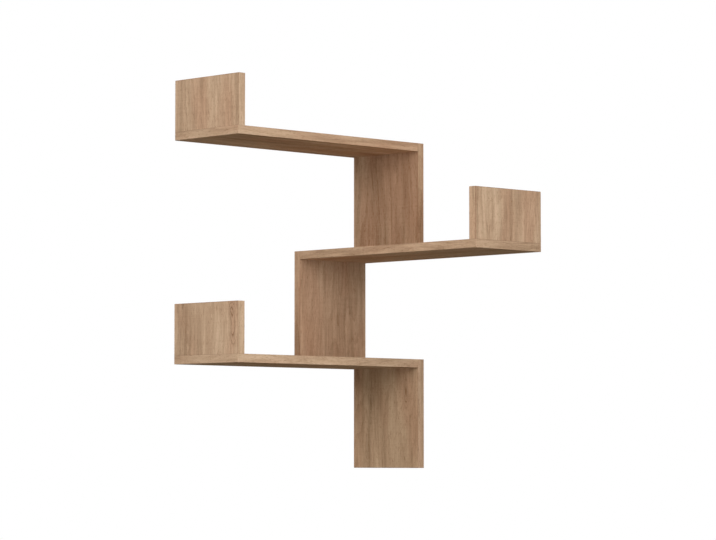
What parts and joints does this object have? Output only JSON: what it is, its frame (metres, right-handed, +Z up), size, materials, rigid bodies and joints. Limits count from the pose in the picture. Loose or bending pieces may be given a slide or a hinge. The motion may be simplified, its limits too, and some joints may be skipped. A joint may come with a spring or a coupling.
{
  "type": "corner wall shelf",
  "caption": "Wall-hung corner shelving unit of wood-grain boards, whose tiers climb the corner in a zigzag, each with an upright, a shelf and a short end board.",
  "frame": {"origin": "the room's corner line at the lower end of the bottom upright", "axes": "+Z up along the corner line; the left wall is the plane X = 0, so +X points out of it and along the right wall; the right wall is the plane Y = 0, so -Y points out of it and along the left wall"},
  "size_m": [0.6, 0.6, 0.9],
  "materials": {
    "faced_board": "matt melamine foil with a light oak grain on chipboard",
    "edging": "matt edging tape with the same light oak grain",
    "beech": "fluted beech dowel, unfinished",
    "die_cast_zinc": "bare die-cast zinc",
    "zinc_plated_steel": "bright zinc-plated steel",
    "plastic_cover": "matt moulded plastic in the colour of the boards"
  },
  "bodies": {
    "root": {"bottom_end_board": "faced_board", "bottom_end_board_front_strip": "edging", "bottom_end_board_top_strip": "edging", "bottom_shelf": "faced_board", "bottom_shelf_end_strip": "edging", "bottom_shelf_front_strip": "edging", "bottom_upright": "faced_board", "bottom_upright_foot_strip": "edging", "bottom_upright_front_strip": "edging", "bottom_upright_top_strip": "edging", "confirmat_screws": "zinc_plated_steel", "end_board_cam_bolts": "zinc_plated_steel", "end_board_cam_covers": "plastic_cover", "end_board_cams": "die_cast_zinc", "end_board_dowels": "beech", "hanger_plates": "zinc_plated_steel", "middle_end_board": "faced_board", "middle_end_board_front_strip": "edging", "middle_end_board_top_strip": "edging", "middle_shelf": "faced_board", "middle_shelf_end_strip": "edging", "middle_shelf_front_strip": "edging", "middle_upright": "faced_board", "middle_upright_front_strip": "edging", "middle_upright_top_strip": "edging", "top_end_board": "faced_board", "top_end_board_front_strip": "edging", "top_end_board_top_strip": "edging", "top_shelf": "faced_board", "top_shelf_end_strip": "edging", "top_shelf_front_strip": "edging", "top_upright": "faced_board", "top_upright_front_strip": "edging", "top_upright_top_strip": "edging", "upright_dowels": "beech"}
  },
  "joints": []
}
